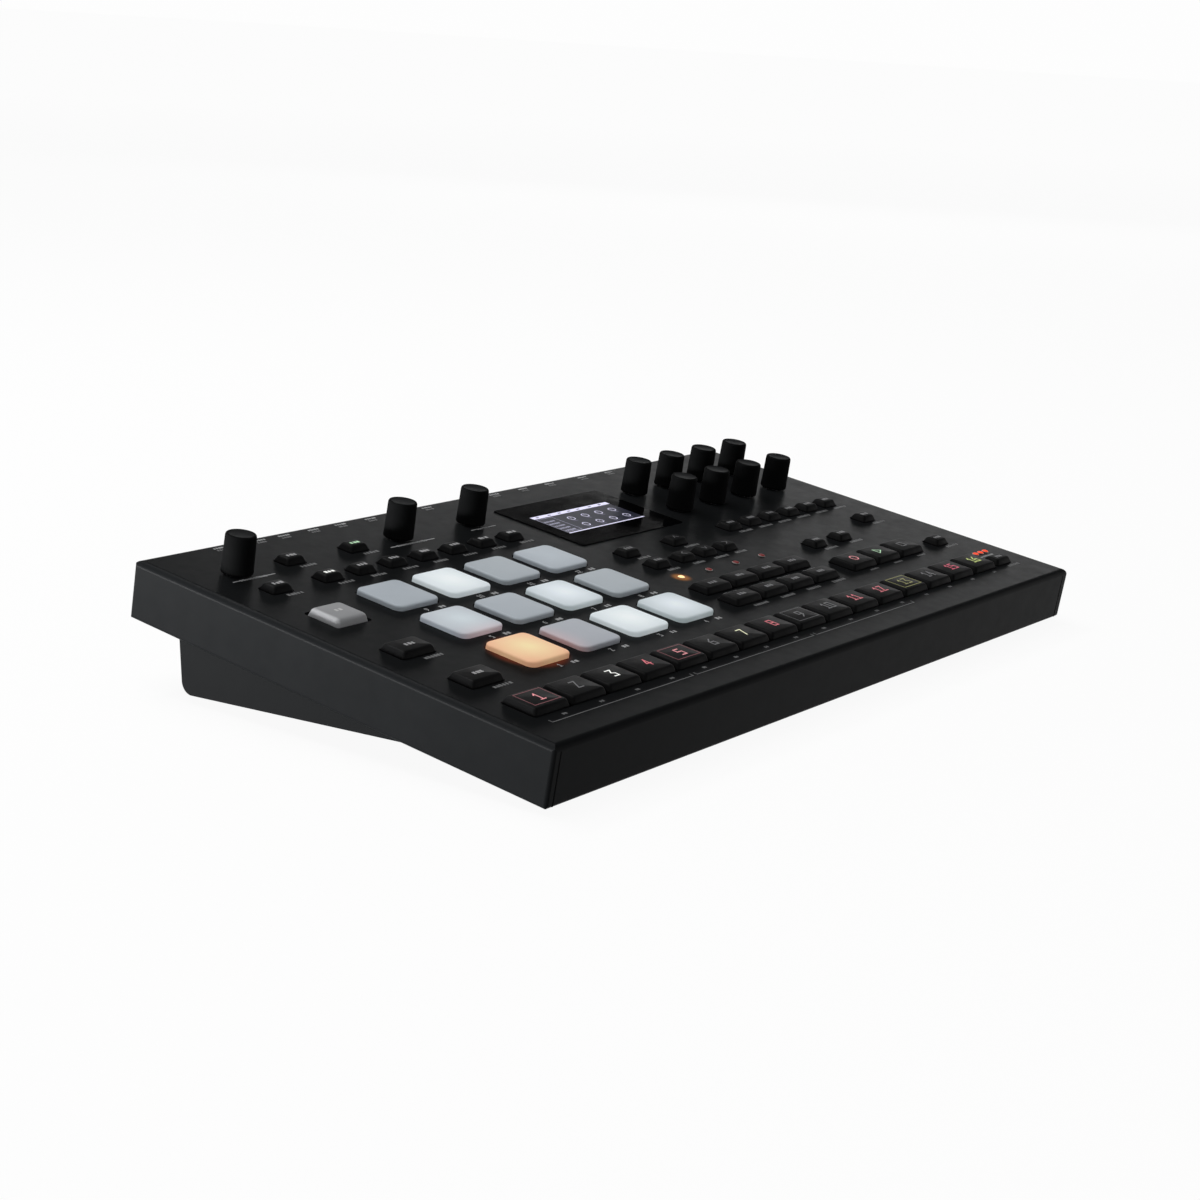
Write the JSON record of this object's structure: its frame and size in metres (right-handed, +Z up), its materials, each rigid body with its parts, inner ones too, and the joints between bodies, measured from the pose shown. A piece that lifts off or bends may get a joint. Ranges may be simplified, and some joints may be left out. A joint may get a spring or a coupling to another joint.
{
  "type": "drum machine",
  "caption": "Table-top drum machine: thin sloping steel case on a wedge base, square lit pads, rows of step keys, turning knobs, a display window and rear sockets.",
  "frame": {"origin": "centre of the whole part's footprint box, on the table plane under the rubber feet", "axes": "+X to the user's right along the case, +Y from the user towards the rear sockets, +Z up; the panel slopes up to the rear by 7 degrees"},
  "size_m": [0.34, 0.184, 0.0557],
  "materials": {
    "panel_steel": "fine satin powder coat",
    "base_steel": "fine satin powder coat",
    "foot_rubber": "matt",
    "screw_steel": "black zinc",
    "display_glass": "polished window over a lit display",
    "display_module": "display board",
    "circuit_board": "solder mask",
    "board_parts": "moulded",
    "encoder_metal": "stamped",
    "jack_plastic": "moulded",
    "socket_plastic": "moulded",
    "pad_orange": "lit silicone",
    "pad_white": "lit silicone",
    "pad_grey": "silicone",
    "key_black": "fine texture with printed or lit legends",
    "function_key": "fine texture",
    "knob_black": "soft satin",
    "rocker_black": "moulded"
  },
  "bodies": {
    "case": {"top_case": "panel_steel", "base_case": "base_steel", "rubber_feet": "foot_rubber", "case_screws": "screw_steel", "display_window": "display_glass", "display_module": "display_module", "control_board": "circuit_board", "board_components": "board_parts", "rotary_encoders": "encoder_metal", "main_board": "circuit_board", "audio_jacks": "jack_plastic", "rear_sockets": "socket_plastic"},
    "pad_1": {"pad_1": "pad_orange"},
    "pad_2": {"pad_2": "pad_grey"},
    "pad_3": {"pad_3": "pad_white"},
    "pad_4": {"pad_4": "pad_white"},
    "pad_5": {"pad_5": "pad_white"},
    "pad_6": {"pad_6": "pad_grey"},
    "pad_7": {"pad_7": "pad_white"},
    "pad_8": {"pad_8": "pad_grey"},
    "pad_9": {"pad_9": "pad_grey"},
    "pad_10": {"pad_10": "pad_white"},
    "pad_11": {"pad_11": "pad_grey"},
    "pad_12": {"pad_12": "pad_grey"},
    "trig_key_1": {"trig_key_1": "key_black"},
    "trig_key_2": {"trig_key_2": "key_black"},
    "trig_key_3": {"trig_key_3": "key_black"},
    "trig_key_4": {"trig_key_4": "key_black"},
    "trig_key_5": {"trig_key_5": "key_black"},
    "trig_key_6": {"trig_key_6": "key_black"},
    "trig_key_7": {"trig_key_7": "key_black"},
    "trig_key_8": {"trig_key_8": "key_black"},
    "trig_key_9": {"trig_key_9": "key_black"},
    "trig_key_10": {"trig_key_10": "key_black"},
    "trig_key_11": {"trig_key_11": "key_black"},
    "trig_key_12": {"trig_key_12": "key_black"},
    "trig_key_13": {"trig_key_13": "key_black"},
    "trig_key_14": {"trig_key_14": "key_black"},
    "trig_key_15": {"trig_key_15": "key_black"},
    "trig_key_16": {"trig_key_16": "key_black"},
    "record_key": {"record_key": "key_black"},
    "play_key": {"play_key": "key_black"},
    "stop_key": {"stop_key": "key_black"},
    "function_key": {"function_key": "function_key"},
    "left_keys": {"left_keys": "key_black"},
    "cursor_keys": {"cursor_keys": "key_black"},
    "right_keys": {"right_keys": "key_black"},
    "wide_keys": {"wide_keys": "key_black"},
    "volume_knob": {"volume_knob": "knob_black"},
    "tempo_knob": {"tempo_knob": "knob_black"},
    "level_knob": {"level_knob": "knob_black"},
    "data_knob_1": {"data_knob_1": "knob_black"},
    "data_knob_2": {"data_knob_2": "knob_black"},
    "data_knob_3": {"data_knob_3": "knob_black"},
    "data_knob_4": {"data_knob_4": "knob_black"},
    "data_knob_5": {"data_knob_5": "knob_black"},
    "data_knob_6": {"data_knob_6": "knob_black"},
    "data_knob_7": {"data_knob_7": "knob_black"},
    "data_knob_8": {"data_knob_8": "knob_black"},
    "power_rocker": {"power_rocker": "rocker_black"}
  },
  "joints": [
    {"name": "pad_1_press", "type": "slide", "parent": "case", "child": "pad_1", "axis": [0, 0.1219, -0.9925], "range_m": [0, 0.0009], "stiffness_N_per_m": 2500},
    {"name": "pad_2_press", "type": "slide", "parent": "case", "child": "pad_2", "axis": [0, 0.1219, -0.9925], "range_m": [0, 0.0009], "stiffness_N_per_m": 2500},
    {"name": "pad_3_press", "type": "slide", "parent": "case", "child": "pad_3", "axis": [0, 0.1219, -0.9925], "range_m": [0, 0.0009], "stiffness_N_per_m": 2500},
    {"name": "pad_4_press", "type": "slide", "parent": "case", "child": "pad_4", "axis": [0, 0.1219, -0.9925], "range_m": [0, 0.0009], "stiffness_N_per_m": 2500},
    {"name": "pad_5_press", "type": "slide", "parent": "case", "child": "pad_5", "axis": [0, 0.1219, -0.9925], "range_m": [0, 0.0009], "stiffness_N_per_m": 2500},
    {"name": "pad_6_press", "type": "slide", "parent": "case", "child": "pad_6", "axis": [0, 0.1219, -0.9925], "range_m": [0, 0.0009], "stiffness_N_per_m": 2500},
    {"name": "pad_7_press", "type": "slide", "parent": "case", "child": "pad_7", "axis": [0, 0.1219, -0.9925], "range_m": [0, 0.0009], "stiffness_N_per_m": 2500},
    {"name": "pad_8_press", "type": "slide", "parent": "case", "child": "pad_8", "axis": [0, 0.1219, -0.9925], "range_m": [0, 0.0009], "stiffness_N_per_m": 2500},
    {"name": "pad_9_press", "type": "slide", "parent": "case", "child": "pad_9", "axis": [0, 0.1219, -0.9925], "range_m": [0, 0.0009], "stiffness_N_per_m": 2500},
    {"name": "pad_10_press", "type": "slide", "parent": "case", "child": "pad_10", "axis": [0, 0.1219, -0.9925], "range_m": [0, 0.0009], "stiffness_N_per_m": 2500},
    {"name": "pad_11_press", "type": "slide", "parent": "case", "child": "pad_11", "axis": [0, 0.1219, -0.9925], "range_m": [0, 0.0009], "stiffness_N_per_m": 2500},
    {"name": "pad_12_press", "type": "slide", "parent": "case", "child": "pad_12", "axis": [0, 0.1219, -0.9925], "range_m": [0, 0.0009], "stiffness_N_per_m": 2500},
    {"name": "trig_key_1_press", "type": "slide", "parent": "case", "child": "trig_key_1", "axis": [0, 0.1219, -0.9925], "range_m": [0, 0.0008], "stiffness_N_per_m": 1200},
    {"name": "trig_key_2_press", "type": "slide", "parent": "case", "child": "trig_key_2", "axis": [0, 0.1219, -0.9925], "range_m": [0, 0.0008], "stiffness_N_per_m": 1200},
    {"name": "trig_key_3_press", "type": "slide", "parent": "case", "child": "trig_key_3", "axis": [0, 0.1219, -0.9925], "range_m": [0, 0.0008], "stiffness_N_per_m": 1200},
    {"name": "trig_key_4_press", "type": "slide", "parent": "case", "child": "trig_key_4", "axis": [0, 0.1219, -0.9925], "range_m": [0, 0.0008], "stiffness_N_per_m": 1200},
    {"name": "trig_key_5_press", "type": "slide", "parent": "case", "child": "trig_key_5", "axis": [0, 0.1219, -0.9925], "range_m": [0, 0.0008], "stiffness_N_per_m": 1200},
    {"name": "trig_key_6_press", "type": "slide", "parent": "case", "child": "trig_key_6", "axis": [0, 0.1219, -0.9925], "range_m": [0, 0.0008], "stiffness_N_per_m": 1200},
    {"name": "trig_key_7_press", "type": "slide", "parent": "case", "child": "trig_key_7", "axis": [0, 0.1219, -0.9925], "range_m": [0, 0.0008], "stiffness_N_per_m": 1200},
    {"name": "trig_key_8_press", "type": "slide", "parent": "case", "child": "trig_key_8", "axis": [0, 0.1219, -0.9925], "range_m": [0, 0.0008], "stiffness_N_per_m": 1200},
    {"name": "trig_key_9_press", "type": "slide", "parent": "case", "child": "trig_key_9", "axis": [0, 0.1219, -0.9925], "range_m": [0, 0.0008], "stiffness_N_per_m": 1200},
    {"name": "trig_key_10_press", "type": "slide", "parent": "case", "child": "trig_key_10", "axis": [0, 0.1219, -0.9925], "range_m": [0, 0.0008], "stiffness_N_per_m": 1200},
    {"name": "trig_key_11_press", "type": "slide", "parent": "case", "child": "trig_key_11", "axis": [0, 0.1219, -0.9925], "range_m": [0, 0.0008], "stiffness_N_per_m": 1200},
    {"name": "trig_key_12_press", "type": "slide", "parent": "case", "child": "trig_key_12", "axis": [0, 0.1219, -0.9925], "range_m": [0, 0.0008], "stiffness_N_per_m": 1200},
    {"name": "trig_key_13_press", "type": "slide", "parent": "case", "child": "trig_key_13", "axis": [0, 0.1219, -0.9925], "range_m": [0, 0.0008], "stiffness_N_per_m": 1200},
    {"name": "trig_key_14_press", "type": "slide", "parent": "case", "child": "trig_key_14", "axis": [0, 0.1219, -0.9925], "range_m": [0, 0.0008], "stiffness_N_per_m": 1200},
    {"name": "trig_key_15_press", "type": "slide", "parent": "case", "child": "trig_key_15", "axis": [0, 0.1219, -0.9925], "range_m": [0, 0.0008], "stiffness_N_per_m": 1200},
    {"name": "trig_key_16_press", "type": "slide", "parent": "case", "child": "trig_key_16", "axis": [0, 0.1219, -0.9925], "range_m": [0, 0.0008], "stiffness_N_per_m": 1200},
    {"name": "record_key_press", "type": "slide", "parent": "case", "child": "record_key", "axis": [0, 0.1219, -0.9925], "range_m": [0, 0.0008], "stiffness_N_per_m": 1200},
    {"name": "play_key_press", "type": "slide", "parent": "case", "child": "play_key", "axis": [0, 0.1219, -0.9925], "range_m": [0, 0.0008], "stiffness_N_per_m": 1200},
    {"name": "stop_key_press", "type": "slide", "parent": "case", "child": "stop_key", "axis": [0, 0.1219, -0.9925], "range_m": [0, 0.0008], "stiffness_N_per_m": 1200},
    {"name": "function_key_press", "type": "slide", "parent": "case", "child": "function_key", "axis": [0, 0.1219, -0.9925], "range_m": [0, 0.0008], "stiffness_N_per_m": 1200},
    {"name": "left_keys_press", "type": "slide", "parent": "case", "child": "left_keys", "axis": [0, 0.1219, -0.9925], "range_m": [0, 0.0008], "stiffness_N_per_m": 1200},
    {"name": "cursor_keys_press", "type": "slide", "parent": "case", "child": "cursor_keys", "axis": [0, 0.1219, -0.9925], "range_m": [0, 0.0008], "stiffness_N_per_m": 1200},
    {"name": "right_keys_press", "type": "slide", "parent": "case", "child": "right_keys", "axis": [0, 0.1219, -0.9925], "range_m": [0, 0.0008], "stiffness_N_per_m": 1200},
    {"name": "wide_keys_press", "type": "slide", "parent": "case", "child": "wide_keys", "axis": [0, 0.1219, -0.9925], "range_m": [0, 0.0008], "stiffness_N_per_m": 1200},
    {"name": "volume_knob_turn", "type": "hinge", "parent": "case", "child": "volume_knob", "pos_m": [-0.1485, 0.06056, 0.04098], "axis": [0, 0.1219, -0.9925], "range_deg": [-150, 150]},
    {"name": "tempo_knob_turn", "type": "hinge", "parent": "case", "child": "tempo_knob", "pos_m": [-0.0666, 0.06214, 0.04117], "axis": [0, 0.1219, -0.9925], "continuous": true},
    {"name": "level_knob_turn", "type": "hinge", "parent": "case", "child": "level_knob", "pos_m": [-0.0267, 0.06165, 0.04111], "axis": [0, 0.1219, -0.9925], "continuous": true},
    {"name": "data_knob_1_turn", "type": "hinge", "parent": "case", "child": "data_knob_1", "pos_m": [0.074, 0.05857, 0.04073], "axis": [0, 0.1219, -0.9925], "continuous": true},
    {"name": "data_knob_2_turn", "type": "hinge", "parent": "case", "child": "data_knob_2", "pos_m": [0.09755, 0.05857, 0.04073], "axis": [0, 0.1219, -0.9925], "continuous": true},
    {"name": "data_knob_3_turn", "type": "hinge", "parent": "case", "child": "data_knob_3", "pos_m": [0.1211, 0.05857, 0.04073], "axis": [0, 0.1219, -0.9925], "continuous": true},
    {"name": "data_knob_4_turn", "type": "hinge", "parent": "case", "child": "data_knob_4", "pos_m": [0.14465, 0.05857, 0.04073], "axis": [0, 0.1219, -0.9925], "continuous": true},
    {"name": "data_knob_5_turn", "type": "hinge", "parent": "case", "child": "data_knob_5", "pos_m": [0.074, 0.03564, 0.03792], "axis": [0, 0.1219, -0.9925], "continuous": true},
    {"name": "data_knob_6_turn", "type": "hinge", "parent": "case", "child": "data_knob_6", "pos_m": [0.09755, 0.03564, 0.03792], "axis": [0, 0.1219, -0.9925], "continuous": true},
    {"name": "data_knob_7_turn", "type": "hinge", "parent": "case", "child": "data_knob_7", "pos_m": [0.1211, 0.03564, 0.03792], "axis": [0, 0.1219, -0.9925], "continuous": true},
    {"name": "data_knob_8_turn", "type": "hinge", "parent": "case", "child": "data_knob_8", "pos_m": [0.14465, 0.03564, 0.03792], "axis": [0, 0.1219, -0.9925], "continuous": true},
    {"name": "power_rocker_tip", "type": "hinge", "parent": "case", "child": "power_rocker", "pos_m": [0.114, 0.08543, 0.03204], "axis": [1, 0, 0], "range_deg": [-14, 0]}
  ]
}
